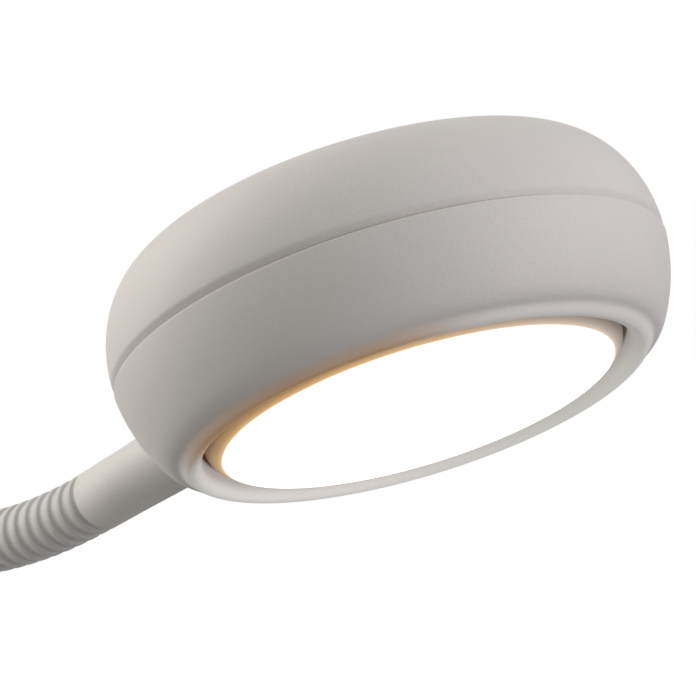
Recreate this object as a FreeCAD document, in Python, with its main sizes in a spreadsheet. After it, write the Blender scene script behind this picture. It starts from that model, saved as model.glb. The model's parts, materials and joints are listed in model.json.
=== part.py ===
import FreeCAD, Part
import math
import os
import Sketcher
from FreeCAD import Placement, Rotation, Vector

# Clip on reading lamp, closed clip, head over the mouth side.
# Origin: centre of the fixed (upper) pad's face. +X out of the clip's mouth, +Z up.
# The lamp is symmetric about y = 0, apart from the charging socket, spring and leads.

doc = FreeCAD.newDocument("clip_lamp")

# ---------------------------------------------------------------- driving dimensions

DRIVING = {
    # head, in the head's own frame: z = 0 is the lit face, +z goes into the head
    "head_radius": 42.5,
    "head_depth": 31.0,
    "crown_rise": 0.5,
    "face_radius": 29.9,
    "skirt_radius": 31.7,
    "skirt_depth": 1.5,
    "lip_radius": 32.7,
    "lip_height": 2.3,
    "lip_wall": 1.6,
    "lip_via_radius": 33.05,
    "lip_via_height": 0.35,
    "crest_radius": 34.6,
    "crest_height": -0.5,
    "crest_via_radius": 35.75,
    "crest_via_height": 0.05,
    "valley_radius": 36.4,
    "valley_height": 1.0,
    "flank_via_radius": 40.15,
    "flank_via_height": 5.9,
    "seam_height": 14.5,
    "seam_gap": 1.3,
    "seam_depth": 0.9,
    "spigot_top": 18.8,
    "spigot_clearance": 0.3,
    "inner_radius": 40.0,
    "shoulder_radius": 38.2,
    "shoulder_height": 6.2,
    "throat_radius": 35.5,
    "throat_height": 4.4,
    "web_height": 9.0,
    "web_thickness": 1.6,
    "web_bore": 22.0,
    "dome_radius": 32.2,
    "dome_via_radius": 39.5,
    "dome_via_height": 26.6,
    "ceiling_radius": 31.2,
    "ceiling_height": 29.0,
    "ceiling_via_radius": 37.9,
    "ceiling_via_height": 25.4,
    "head_wall": 1.8,
    "neck_entry": 13.7,
    "head_screw_circle": 34.0,
    "head_screw_count": 3,
    "head_boss_radius": 3.0,
    "head_boss_length": 18.0,
    "head_pilot_depth": 7.5,
    "board_radius": 30.0,
    "board_thickness": 1.6,
    "board_screw_circle": 26.0,
    "chip_circle": 19.0,
    "chip_count": 20,
    "chip_side": 2.8,
    "chip_height": 0.7,
    # diffuser and reflector, clamped by their rims against the housing
    "lens_thickness": 1.8,
    "lens_bevel_radius": 28.4,
    "lens_wall_radius": 30.6,
    "lens_wall_height": 2.9,
    "rim_radius": 35.0,
    "rim_height": 4.7,
    "rim_thickness": 1.0,
    "reflector_top_radius": 28.6,
    "reflector_low_radius": 31.2,
    "reflector_wall": 1.0,
    "reflector_rim": 0.6,
    # screws: m2.5 holds the shells, m2 holds the boards
    "shell_screw_hole": 1.25,
    "shell_screw_shank": 1.2,
    "shell_screw_head": 2.3,
    "shell_screw_head_height": 1.5,
    "board_screw_shank": 0.95,
    "board_screw_head": 1.8,
    "board_screw_head_height": 1.0,
    # gooseneck
    "section_length": 33.0,
    "sleeve_radius": 5.0,
    "sleeve_bore": 3.7,
    "core_radius": 3.5,
    "core_bore": 1.5,
    "lead_radius": 1.2,
    "sleeve_end_gap": 1.9,
    "core_end_gap": 1.5,
    "lead_end_gap": 0.8,
    "collar_radius": 5.5,
    "collar_tip_radius": 5.05,
    "lower_collar_length": 12.0,
    "upper_collar_length": 25.5,
    "ferrule_radius": 4.0,
    "ferrule_bore": 2.0,
    "ferrule_inner_end": 30.0,
    "flange_radius": 6.2,
    "flange_seat_radius": 6.4,
    "flange_thickness": 1.6,
    "collar_clearance": 0.02,
    "nut_thickness": 4.0,
    "upper_nut_flats": 10.0,
    "lower_nut_flats": 13.0,
    "foot_radius": 7.6,
    "foot_edge": 1.2,
    "foot_cone_radius": 6.2,
    "foot_cone_height": 2.6,
    # clip, upper half
    "tail_length": 72.0,
    "nose_length": 21.0,
    "half_width": 21.0,
    "frame_bottom": 1.6,
    "split_height": 14.0,
    "cover_top": 22.0,
    "housing_wall": 2.0,
    "corner_round": 9.0,
    "top_round": 4.0,
    "pad_half_length": 16.0,
    "pad_half_width": 17.0,
    "pad_thickness": 2.6,
    "pad_gap": 2.4,
    "neck_x": 52.0,
    "post_radius": 3.2,
    "front_post_x": 12.0,
    "rear_post_x": 65.0,
    "front_post_y": 13.5,
    "rear_post_y": 12.0,
    "post_gap": 0.2,
    "screw_well_radius": 2.45,
    "board_post_x": 33.0,
    "board_post_y": 15.0,
    "board_post_radius": 2.6,
    "stop_half_width": 12.5,
    "stop_depth": 3.6,
    "floor_round": 1.4,
    "parting_round": 0.4,
    "battery_front": 6.0,
    "battery_rear": 38.0,
    "battery_half_width": 17.0,
    "battery_thickness": 7.5,
    "battery_lift": 0.3,
    "battery_round": 1.5,
    "control_board_height": 13.4,
    "control_board_rear": 38.0,
    "control_board_front": 7.8,
    "control_board_half_width": 18.0,
    "button_x": 2.0,
    "button_radius": 6.5,
    "button_clearance": 0.25,
    "button_rise": 0.8,
    "button_dish": 0.4,
    "button_flange": 7.6,
    "button_stem": 1.8,
    "button_stem_low": 17.3,
    "switch_half": 2.6,
    "switch_height": 1.0,
    "plunger_radius": 1.3,
    "plunger_height": 0.6,
    "light_pipe_x": 14.0,
    "light_pipe_radius": 1.2,
    "light_pipe_low": 17.2,
    "light_pipe_flange": 2.0,
    "socket_x": 18.0,
    "socket_half_width": 4.45,
    "socket_height": 3.2,
    "socket_depth": 7.4,
    "socket_wall": 0.4,
    "socket_setback": 0.4,
    "socket_clearance": 0.1,
    "tongue_half_width": 3.3,
    "tongue_thickness": 0.7,
    "tongue_setback": 1.4,
    # clip, hinge and lower jaw
    "pin_x": 34.0,
    "pin_drop": 4.6,
    "pin_radius": 2.0,
    "pin_half_length": 18.6,
    "pin_clearance": 0.05,
    "knuckle_radius": 5.5,
    "knuckle_inner": 10.2,
    "knuckle_outer": 13.9,
    "ear_inner": 14.2,
    "ear_outer": 17.2,
    "jaw_half_width": 18.0,
    "jaw_thickness": 4.5,
    "jaw_corner": 8.0,
    "jaw_edge_round": 0.8,
    "pad_sink": 1.0,
    "window_rear": 41.5,
    "window_front": 26.0,
    "notch_rear": 41.2,
    "notch_front": 27.0,
    "heel_rear": 29.0,
    "heel_front": 18.0,
    "jaw_tail": 70.0,
    "handle_angle": 26.0,
    "handle_drop": 5.6,
    "handle_thickness": 3.8,
    "grip_half": 12.0,
    "grip_thickness": 1.4,
    "grip_reach": 22.0,
    "grip_round": 4.0,
    "retainer_radius": 3.6,
    "retainer_thickness": 0.7,
    "groove_depth": 0.5,
    "pin_chamfer": 0.3,
    "lip_x": 17.6,
    "spring_wire": 0.9,
    "spring_radius": 4.6,
    "spring_pitch": 2.0,
    "spring_turns": 7,
    "spring_upper_leg": 17.0,
    "spring_lower_leg": 19.0,
}

# Turn of each neck section in degrees, from the clip to the head: positive bends down.
NECK_TURNS = (6.0, 12.0, 22.0, 26.0, 24.0, 12.0, -15.8, -18.0)

sheet = doc.addObject("Spreadsheet::Sheet", "Sizes")
for row, (alias, number) in enumerate(DRIVING.items(), start=1):
    sheet.set(f"A{row}", alias)
    sheet.set(f"B{row}", str(number))
    sheet.setAlias(f"B{row}", alias)
doc.recompute()


class Length:
    """A number that remembers the sheet expression it comes from."""

    def __init__(self, number, text):
        self.number = number
        self.text = text

    def join(self, other, sign, swap=False):
        first, second = (as_length(other), self) if swap else (self, as_length(other))
        results = {
            "+": lambda a, b: a + b,
            "-": lambda a, b: a - b,
            "*": lambda a, b: a * b,
            "/": lambda a, b: a / b,
        }
        number = results[sign](first.number, second.number)
        return Length(number, f"({first.text} {sign} {second.text})")

    def __add__(self, other):
        return self.join(other, "+")

    def __radd__(self, other):
        return self.join(other, "+", swap=True)

    def __sub__(self, other):
        return self.join(other, "-")

    def __rsub__(self, other):
        return self.join(other, "-", swap=True)

    def __mul__(self, other):
        return self.join(other, "*")

    def __rmul__(self, other):
        return self.join(other, "*", swap=True)

    def __truediv__(self, other):
        return self.join(other, "/")

    def __neg__(self):
        return Length(-self.number, f"(0 - {self.text})")

    def __float__(self):
        return float(self.number)

    def __int__(self):
        return int(self.number)


def as_length(value):
    if isinstance(value, Length):
        return value
    return Length(float(value), f"{float(value):.6f}")


class SheetSizes:
    """Gives each alias of the sheet as a Length."""

    def __getattr__(self, alias):
        return Length(float(sheet.get(alias)), "Sizes." + alias)


size = SheetSizes()
PARTS = []

# ---------------------------------------------------------------- modelling helpers


def bind(feature, prop, length):
    """Set a property and tie it to the sheet."""
    length = as_length(length)
    setattr(feature, prop, length.number)
    feature.setExpression(prop, length.text)


def new_body(label, placement=None):
    body = doc.addObject("PartDesign::Body", label)
    body.Label = label
    if placement is not None:
        body.Placement = placement
    PARTS.append(body)
    return body


def new_sketch(body, role, offset=0.0):
    """A sketch on one of the body's origin planes, moved along the plane's normal."""
    sketch = body.newObject("Sketcher::SketchObject", "Sketch")
    plane = [item for item in body.Origin.OriginFeatures if item.Role == role][0]
    sketch.AttachmentSupport = [(plane, "")]
    sketch.MapMode = "FlatFace"
    offset = as_length(offset)
    sketch.AttachmentOffset = Placement(Vector(0, 0, offset.number), Rotation())
    sketch.setExpression(".AttachmentOffset.Base.z", offset.text)
    return sketch


def tie_point(sketch, element, end, x, y):
    """Hold one end of a sketch element at bound coordinates."""
    for kind, value, axis in (("DistanceX", x, -2), ("DistanceY", y, -1)):
        value = as_length(value)
        if abs(value.number) < 1e-9:
            sketch.addConstraint(Sketcher.Constraint("PointOnObject", element, end, axis))
            continue
        index = sketch.addConstraint(
            Sketcher.Constraint(kind, -1, 1, element, end, value.number))
        sketch.setExpression(f"Constraints[{index}]", value.text)


def outline(body, role, corners, offset=0.0):
    """Closed outline. A corner is (x, y), or (x, y, via) where the edge that starts there
    is an arc through the point via."""
    sketch = new_sketch(body, role, offset)
    points = [Vector(float(corner[0]), float(corner[1]), 0) for corner in corners]
    count = len(points)
    for i, corner in enumerate(corners):
        start, stop = points[i], points[(i + 1) % count]
        if len(corner) == 3:
            via = Vector(float(corner[2][0]), float(corner[2][1]), 0)
            sketch.addGeometry(Part.Arc(start, via, stop))
        else:
            sketch.addGeometry(Part.LineSegment(start, stop))

    def end_at(element, point):
        near = [(sketch.getPoint(element, end) - point).Length for end in (1, 2)]
        return 1 if near[0] <= near[1] else 2

    for i, corner in enumerate(corners):
        here = end_at(i, points[i])
        before = end_at(i - 1 if i else count - 1, points[i])
        previous = i - 1 if i else count - 1
        sketch.addConstraint(Sketcher.Constraint("Coincident", previous, before, i, here))
        tie_point(sketch, i, here, corner[0], corner[1])
    return sketch


def box_outline(body, role, low_x, high_x, low_y, high_y, offset=0.0):
    corners = [(low_x, low_y), (high_x, low_y), (high_x, high_y), (low_x, high_y)]
    return outline(body, role, corners, offset)


def rounded_box(body, role, low_x, high_x, low_y, high_y, radius, offset=0.0):
    """Box outline with quarter-round corners."""
    back = radius * (1 - math.sqrt(0.5))
    corners = [
        (low_x + radius, low_y),
        (high_x - radius, low_y, (high_x - back, low_y + back)),
        (high_x, low_y + radius),
        (high_x, high_y - radius, (high_x - back, high_y - back)),
        (high_x - radius, high_y),
        (low_x + radius, high_y, (low_x + back, high_y - back)),
        (low_x, high_y - radius),
        (low_x, low_y + radius, (low_x + back, low_y + back)),
    ]
    return outline(body, role, corners, offset)


def circles(body, role, centres, radius, offset=0.0):
    """Equal circles at bound centres."""
    sketch = new_sketch(body, role, offset)
    radius = as_length(radius)
    for index, (x, y) in enumerate(centres):
        centre = Vector(float(as_length(x)), float(as_length(y)), 0)
        sketch.addGeometry(Part.Circle(centre, Vector(0, 0, 1), radius.number))
        tie_point(sketch, index, 3, x, y)
        held = sketch.addConstraint(Sketcher.Constraint("Radius", index, radius.number))
        sketch.setExpression(f"Constraints[{held}]", radius.text)
    return sketch


def pad(body, sketch, length, symmetric=False, down=False):
    feature = body.newObject("PartDesign::Pad", "Pad")
    feature.Profile = sketch
    bind(feature, "Length", length)
    feature.Midplane = symmetric
    feature.Reversed = down
    doc.recompute()


def pocket(body, sketch, length, symmetric=False, up=False):
    """Cut against the sketch's normal, or along it with up=True. It has to remove material."""
    before = body.Shape.Volume
    feature = body.newObject("PartDesign::Pocket", "Pocket")
    feature.Profile = sketch
    bind(feature, "Length", length)
    feature.Midplane = symmetric
    feature.Reversed = up
    doc.recompute()
    if body.Shape.Volume > before - 1e-3:
        raise RuntimeError(f"a pocket in {body.Label} cuts nothing")


def revolve(body, sketch):
    feature = body.newObject("PartDesign::Revolution", "Revolution")
    feature.Profile = sketch
    feature.ReferenceAxis = (sketch, ["V_Axis"])
    feature.Angle = 360
    doc.recompute()


def round_edges(body, radius, wanted):
    base = body.Tip
    names = [f"Edge{i}" for i, edge in enumerate(base.Shape.Edges, start=1) if wanted(edge)]
    if not names:
        raise RuntimeError(f"no edge to round on {body.Label}")
    feature = body.newObject("PartDesign::Fillet", "Fillet")
    feature.Base = (base, names)
    bind(feature, "Radius", radius)
    doc.recompute()


def turned(label, corners, placement=None):
    """A round piece: the outline (radius, height) turned about its own Z axis."""
    body = new_body(label, placement)
    revolve(body, outline(body, "XZ_Plane", corners))
    return body


def tube_outline(inner, outer, low, high):
    return [(inner, low), (outer, low), (outer, high), (inner, high)]


def upright(edge):
    """True for a straight vertical edge."""
    box = edge.BoundBox
    return box.XLength < 1e-6 and box.YLength < 1e-6 and box.ZLength > 1e-6


def at_height(edge, height):
    """True for an edge that lies flat at a height."""
    box = edge.BoundBox
    return abs(box.ZMin - height) < 1e-6 and abs(box.ZMax - height) < 1e-6


def group(label, members, placement=None):
    """Separate equal solids that share one node."""
    compound = doc.addObject("Part::Compound", label)
    compound.Label = label
    compound.Links = members
    if placement is not None:
        compound.Placement = placement
    PARTS.append(compound)


def screw(name, x, y, seat, tip, head, head_height, shank):
    """A pan head screw at (x, y): its head hangs under the seat, its shank rises to the tip."""
    profile = [(0, seat - head_height), (head, seat - head_height), (head, seat),
               (shank, seat), (shank, tip), (0, tip)]
    corners = [Vector(float(as_length(r)), 0, float(as_length(h))) for r, h in profile]
    face = Part.Face(Part.makePolygon(corners + corners[:1]))
    solid = doc.addObject("Part::Feature", name)
    solid.Shape = face.revolve(Vector(0, 0, 0), Vector(0, 0, 1), 360)
    solid.Placement = Placement(Vector(float(as_length(x)), float(as_length(y)), 0), Rotation())
    return solid


def shell_screw(name, x, y, seat, tip):
    return screw(name, x, y, seat, tip, size.shell_screw_head, size.shell_screw_head_height,
                 size.shell_screw_shank)


def board_screw(name, x, y, seat, tip):
    return screw(name, x, y, seat, tip, size.board_screw_head, size.board_screw_head_height,
                 size.board_screw_shank)


# ---------------------------------------------------------------- neck route


def across(heading):
    """Unit vector square to the heading, in the lamp's plane, on its left."""
    return Vector(-heading.z, 0, heading.x)


class Section:
    """One arc of the neck: where it starts and ends, and which way it points."""

    def __init__(self, start, heading, turn):
        self.start = start
        self.turn = math.radians(turn)
        self.radius = float(size.section_length) / abs(self.turn)
        side = -1.0 if turn > 0 else 1.0
        self.centre = start + across(heading) * (side * self.radius)
        outward = (start - self.centre) * (1 / self.radius)
        self.rotation = Rotation(outward, heading, outward.cross(heading), "XYZ")
        spin = Rotation(Vector(0, 1, 0), turn)
        self.end = self.centre + spin.multVec(start - self.centre)
        self.end_heading = spin.multVec(heading)


def neck_sections():
    start = Vector(-float(size.neck_x), 0, float(size.cover_top + size.lower_collar_length))
    heading = Vector(0, 0, 1)
    sections = []
    for turn in NECK_TURNS:
        section = Section(start, heading, turn)
        sections.append(section)
        start, heading = section.end, section.end_heading
    return sections


SECTIONS = neck_sections()
HEAD_TILT = math.degrees(math.atan2(SECTIONS[-1].end_heading.z, SECTIONS[-1].end_heading.x))


def head_placement():
    """Place of the head's frame: its -X side meets the end of the neck."""
    turn = Rotation(Vector(0, 1, 0), -HEAD_TILT)
    reach = float(size.head_radius + size.upper_collar_length)
    offset = turn.multVec(Vector(reach, 0, -float(size.neck_entry)))
    return Placement(SECTIONS[-1].end + offset, turn)


HEAD = head_placement()
NECK_IN_HEAD = HEAD.multiply(Placement(Vector(0, 0, float(size.neck_entry)),
                                       Rotation(Vector(0, 1, 0), -90)))


def torus_piece(name, section, index, radius, end_gap):
    """Solid arc of a round bar along a section, stopping end_gap short of each pivot."""
    first = 0.0 if index == 0 else end_gap
    last = 0.0 if index == len(SECTIONS) - 1 else end_gap
    piece = doc.addObject("Part::Torus", name)
    bend = size.section_length / abs(section.turn)
    bind(piece, "Radius1", bend)
    bind(piece, "Radius2", radius)
    start_angle = math.degrees(float(as_length(first)) / section.radius)
    bind(piece, "Angle3", (size.section_length - first - last) / bend * (180 / math.pi))
    lift = Rotation(Vector(0, 0, 1), start_angle)
    piece.Placement = Placement(section.centre, section.rotation.multiply(lift))
    return piece


def neck_tube(label, section, index, outer, inner, end_gap):
    cut = doc.addObject("Part::Cut", label)
    cut.Label = label
    cut.Base = torus_piece(label + "_outside", section, index, outer, end_gap)
    cut.Tool = torus_piece(label + "_bore", section, index, inner, end_gap)
    PARTS.append(cut)


def make_neck():
    for index, section in enumerate(SECTIONS):
        number = index + 1
        neck_tube(f"neck_sleeve_{number}", section, index, size.sleeve_radius,
                  size.sleeve_bore, size.sleeve_end_gap)
        neck_tube(f"neck_core_{number}", section, index, size.core_radius,
                  size.core_bore, size.core_end_gap)
        lead = torus_piece(f"neck_lead_{number}", section, index, size.lead_radius,
                           size.lead_end_gap)
        lead.Label = f"neck_lead_{number}"
        PARTS.append(lead)


# ---------------------------------------------------------------- bent leads


def lead_along(label, corners, bend):
    """Round lead along straight runs joined by tangent arcs of radius bend."""
    points = [Vector(*corner) for corner in corners]
    edges = []
    here = points[0]
    for before, corner, after in zip(points, points[1:], points[2:]):
        arrive = (corner - before).normalize()
        leave = (after - corner).normalize()
        turn = arrive.getAngle(leave)
        back = bend * math.tan(turn / 2)
        arc_start = corner - arrive * back
        arc_end = corner + leave * back
        towards_centre = (leave - arrive).normalize()
        middle = corner + towards_centre * (bend / math.cos(turn / 2) - bend)
        edges.append(Part.LineSegment(here, arc_start).toShape())
        edges.append(Part.Arc(arc_start, middle, arc_end).toShape())
        here = arc_end
    edges.append(Part.LineSegment(here, points[-1]).toShape())
    path = Part.Wire(edges)
    first = (points[1] - points[0]).normalize()
    ring = Part.Wire(Part.makeCircle(float(size.lead_radius), points[0], first))
    solid = path.makePipeShell([ring], True, False)
    expected = math.pi * float(size.lead_radius) ** 2 * path.Length
    if abs(solid.Volume / expected - 1) > 0.01:
        raise RuntimeError(f"{label} has the wrong volume")
    lead = doc.addObject("Part::Feature", label)
    lead.Label = label
    lead.Shape = solid
    PARTS.append(lead)


# ---------------------------------------------------------------- head


def head_screw_points():
    return ring_points(size.head_screw_circle, size.head_screw_count, 0)


def board_screw_points():
    return ring_points(size.board_screw_circle, size.head_screw_count, 60)


def make_head_shells():
    seam_top = size.seam_height + size.seam_gap
    lap = size.head_radius - size.seam_depth
    web_top = size.web_height + size.web_thickness
    front = turned("head_front_housing", [
        (size.lip_radius, size.lip_height, (size.lip_via_radius, size.lip_via_height)),
        (size.crest_radius, size.crest_height, (size.crest_via_radius, size.crest_via_height)),
        (size.valley_radius, size.valley_height, (size.flank_via_radius, size.flank_via_height)),
        (size.head_radius, size.seam_height),
        (lap, size.seam_height),
        (lap, size.spigot_top),
        (size.inner_radius, size.spigot_top),
        (size.inner_radius, web_top),
        (size.web_bore, web_top),
        (size.web_bore, size.web_height),
        (size.inner_radius - 0.6, size.web_height),
        (size.shoulder_radius, size.shoulder_height),
        (size.throat_radius, size.throat_height),
        (size.lip_radius, size.lip_height + size.lip_wall),
    ], HEAD)
    shell_holes = circles(front, "XY_Plane", head_screw_points(), size.shell_screw_hole, web_top)
    pocket(front, shell_holes, size.web_thickness)
    board_holes = circles(front, "XY_Plane", board_screw_points(), size.board_screw_shank,
                          web_top)
    pocket(front, board_holes, size.web_thickness)
    cut_neck_entry(front)
    cut_flange_seat(front)

    spigot_stop = size.spigot_top + size.spigot_clearance
    rear = turned("head_rear_cover", [
        (size.head_radius, seam_top, (size.dome_via_radius, size.dome_via_height)),
        (size.dome_radius, size.head_depth),
        (0, size.head_depth + size.crown_rise),
        (0, size.head_depth + size.crown_rise - size.head_wall),
        (size.ceiling_radius, size.ceiling_height,
         (size.ceiling_via_radius, size.ceiling_via_height)),
        (lap - 0.9, spigot_stop),
        (lap, spigot_stop),
        (lap, seam_top),
    ], HEAD)
    bosses = circles(rear, "XY_Plane", head_screw_points(), size.head_boss_radius, web_top)
    pad(rear, bosses, size.head_boss_length)
    pilots = circles(rear, "XY_Plane", head_screw_points(), size.shell_screw_shank, web_top)
    pocket(rear, pilots, size.head_pilot_depth, up=True)
    cut_neck_entry(rear)


def ring_points(radius, count, first_angle):
    """Bound centres spaced evenly round a circle."""
    points = []
    for index in range(int(count)):
        angle = math.radians(first_angle + 360 * index / int(count))
        points.append((radius * round(math.cos(angle), 9), radius * round(math.sin(angle), 9)))
    return points


def cut_neck_entry(shell):
    """Radial hole through the wall for the collar."""
    start = 3 - size.inner_radius
    hole = circles(shell, "YZ_Plane", [(0, size.neck_entry)],
                   size.collar_radius + size.collar_clearance, start)
    pocket(shell, hole, start + size.head_radius + 4)


def cut_flange_seat(shell):
    """Room behind the wall and through the web for the collar's flange and the nut."""
    start = 12 - size.inner_radius
    seat = circles(shell, "YZ_Plane", [(0, size.neck_entry)], size.flange_seat_radius, start)
    pocket(shell, seat, start + size.inner_radius + 0.1)


def make_light():
    board_low = size.web_height - size.board_thickness
    skirt = size.skirt_radius + 0.3
    rim_top = size.rim_height + size.rim_thickness
    turned("diffuser", [
        (0, 0),
        (size.face_radius, 0),
        (size.skirt_radius, size.skirt_depth),
        (skirt, size.skirt_depth + 0.7),
        (skirt, size.rim_height),
        (size.rim_radius, size.rim_height),
        (size.rim_radius, rim_top),
        (size.lens_wall_radius, rim_top),
        (size.lens_wall_radius, size.lens_wall_height),
        (size.lens_bevel_radius, size.lens_thickness),
        (0, size.lens_thickness),
    ], HEAD)
    flange_low = rim_top + 0.05
    flange_top = flange_low + size.reflector_rim
    cone_top = board_low - 0.02
    turned("reflector_ring", [
        (size.reflector_top_radius, cone_top),
        (size.reflector_low_radius, flange_low),
        (size.rim_radius, flange_low),
        (size.rim_radius, flange_top),
        (size.reflector_low_radius + 0.4, flange_top),
        (size.reflector_top_radius + size.reflector_wall, cone_top),
    ], HEAD)
    board = new_body("led_board", HEAD)
    pad(board, circles(board, "XY_Plane", [(0, 0)], size.board_radius, board_low),
        size.board_thickness)
    holes = circles(board, "XY_Plane", board_screw_points(), size.board_screw_shank, board_low)
    pocket(board, holes, size.board_thickness, up=True)

    chips = []
    half = size.chip_side / 2
    for x, y in ring_points(size.chip_circle, size.chip_count, 0):
        chip = doc.addObject("Part::Box", "Chip")
        bind(chip, "Length", size.chip_side)
        bind(chip, "Width", size.chip_side)
        bind(chip, "Height", size.chip_height)
        corner = Vector(float(x - half), float(y - half), float(board_low - size.chip_height))
        chip.Placement = Placement(corner, Rotation())
        chips.append(chip)
    group("led_chips", chips, HEAD)

    web_top = size.web_height + size.web_thickness
    board_screws = [board_screw("BoardScrew", x, y, board_low, web_top)
                    for x, y in board_screw_points()]
    group("led_board_screws", board_screws, HEAD)
    screw_tip = web_top + size.head_pilot_depth - 1.1
    head_screws = [shell_screw("HeadScrew", x, y, size.web_height, screw_tip)
                   for x, y in head_screw_points()]
    group("head_screws", head_screws, HEAD)


def hex_nut(label, across_flats, low, placement):
    """Hexagon nut on a ferrule."""
    body = new_body(label, placement)
    corner = across_flats / math.sqrt(3)
    pad(body, outline(body, "XY_Plane", ring_points(corner, 6, 0), low), size.nut_thickness)
    bore = circles(body, "XY_Plane", [(0, 0)], size.ferrule_radius, low)
    pocket(body, bore, size.nut_thickness, up=True)


def make_head_neck_end():
    """Collar, ferrule and nut. Their own Z axis runs out of the head along the neck."""
    outer = size.head_radius + size.upper_collar_length
    wall = size.inner_radius
    flange_outer = wall + 0.05
    turned("upper_collar", [
        (size.ferrule_radius, wall - size.flange_thickness),
        (size.flange_radius, wall - size.flange_thickness),
        (size.flange_radius, flange_outer),
        (size.collar_radius, flange_outer),
        (size.collar_radius, size.head_radius + 2),
        (size.collar_tip_radius, outer - 0.6),
        (size.collar_tip_radius - 0.5, outer),
        (size.ferrule_radius, outer),
    ], NECK_IN_HEAD)
    turned("upper_ferrule",
           tube_outline(size.ferrule_bore, size.ferrule_radius, size.ferrule_inner_end, outer),
           NECK_IN_HEAD)
    nut_low = wall - size.flange_thickness - size.nut_thickness - 0.1
    hex_nut("upper_nut", size.upper_nut_flats, nut_low, NECK_IN_HEAD)
    entry = float(size.neck_entry)
    route = [(-30.0, 0, entry), (-16.0, 0, entry), (-16.0, 0, float(size.web_height))]
    placed = [HEAD.multVec(Vector(*point)) for point in route]
    lead_along("head_lead", [(point.x, point.y, point.z) for point in placed], 2.2)


# ---------------------------------------------------------------- clip, upper half


def housing_outline(body, inset, height):
    """Plan outline of the housing, drawn in by inset, at a height."""
    return rounded_box(body, "XY_Plane", inset - size.tail_length, size.nose_length - inset,
                       inset - size.half_width, size.half_width - inset,
                       size.corner_round - inset, height)


def post_centres():
    fronts = [(size.front_post_x, size.front_post_y), (size.front_post_x, -size.front_post_y)]
    rears = [(-size.rear_post_x, size.rear_post_y), (-size.rear_post_x, -size.rear_post_y)]
    return fronts + rears


def board_post_centres():
    return [(-size.board_post_x, size.board_post_y), (-size.board_post_x, -size.board_post_y)]


def at_parting_line(edge):
    """True for an edge where the frame and the cover meet."""
    return at_height(edge, float(size.split_height))


def make_frame():
    frame = new_body("clip_frame")
    floor = size.frame_bottom + size.housing_wall
    pad(frame, housing_outline(frame, 0, size.frame_bottom),
        size.split_height - size.frame_bottom)
    round_edges(frame, size.floor_round, lambda edge: at_height(edge, float(size.frame_bottom)))
    round_edges(frame, size.parting_round, at_parting_line)
    pocket(frame, housing_outline(frame, size.housing_wall, size.split_height),
           size.split_height - floor)
    posts = circles(frame, "XY_Plane", post_centres(), size.post_radius, floor)
    pad(frame, posts, size.split_height - floor - size.post_gap)
    lip = box_outline(frame, "XY_Plane", size.lip_x, size.nose_length - 0.6,
                      -size.stop_half_width, size.stop_half_width, size.frame_bottom + 1)
    pad(frame, lip, size.stop_depth, down=True)
    ear_half = size.knuckle_radius
    drop = -size.pin_drop
    for side in (1, -1):
        middle = (size.ear_inner + size.ear_outer) * (0.5 * side)
        width = size.ear_outer - size.ear_inner
        ear = outline(frame, "XZ_Plane", [
            (-size.pin_x - ear_half, floor - 1),
            (-size.pin_x - ear_half, drop, (-size.pin_x, drop - ear_half)),
            (-size.pin_x + ear_half, drop),
            (-size.pin_x + ear_half, floor - 1),
        ], -middle)
        pad(frame, ear, width, symmetric=True)
    bore = circles(frame, "XZ_Plane", [(-size.pin_x, drop)], size.pin_radius)
    pocket(frame, bore, size.ear_outer * 2 + 1, symmetric=True)
    seat = box_outline(frame, "XY_Plane", -size.pad_half_length, size.pad_half_length,
                       -size.pad_half_width, size.pad_half_width, size.pad_thickness)
    pocket(frame, seat, 3.0)
    bores = circles(frame, "XY_Plane", post_centres(), size.shell_screw_hole, size.split_height)
    pocket(frame, bores, size.split_height)
    wells = circles(frame, "XY_Plane", post_centres(), size.screw_well_radius, floor + 1)
    pocket(frame, wells, 4.0)


def screw_tip():
    """Height that the clip's screws reach, short of the cover's outside."""
    return size.cover_top - 3.6


def make_cover():
    cover = new_body("clip_top_cover")
    ceiling = size.cover_top - size.housing_wall
    pad(cover, housing_outline(cover, 0, size.split_height), size.cover_top - size.split_height)
    round_edges(cover, size.top_round, lambda edge: at_height(edge, float(size.cover_top)))
    round_edges(cover, size.parting_round, at_parting_line)
    pocket(cover, housing_outline(cover, size.housing_wall, size.split_height),
           ceiling - size.split_height, up=True)
    bosses = circles(cover, "XY_Plane", post_centres(), size.post_radius, ceiling + 0.5)
    pad(cover, bosses, ceiling + 0.5 - size.split_height, down=True)
    board_top = size.control_board_height + size.board_thickness
    stands = circles(cover, "XY_Plane", board_post_centres(), size.board_post_radius,
                     ceiling + 0.5)
    pad(cover, stands, ceiling + 0.5 - board_top, down=True)
    pilots = circles(cover, "XY_Plane", post_centres(), size.shell_screw_shank,
                     size.split_height)
    pocket(cover, pilots, screw_tip() - size.split_height + 0.2, up=True)
    stand_bores = circles(cover, "XY_Plane", board_post_centres(), size.board_screw_shank,
                          board_top)
    pocket(cover, stand_bores, screw_tip() - board_top + 0.2, up=True)
    button = circles(cover, "XY_Plane", [(size.button_x, 0)],
                     size.button_radius + size.button_clearance, size.cover_top)
    pocket(cover, button, 3.0)
    neck = circles(cover, "XY_Plane", [(-size.neck_x, 0)], size.ferrule_radius, size.cover_top)
    pocket(cover, neck, 3.0)
    pipe = circles(cover, "XY_Plane", [(size.light_pipe_x, 0)], size.light_pipe_radius,
                   size.cover_top)
    pocket(cover, pipe, 3.0)
    slot_half = size.socket_half_width + size.socket_clearance
    slot = box_outline(cover, "XZ_Plane", -size.socket_x - slot_half, -size.socket_x + slot_half,
                       board_top - size.socket_clearance,
                       board_top + size.socket_height + 0.15, size.half_width - 3)
    pocket(cover, slot, 4.0, up=True)


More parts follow.
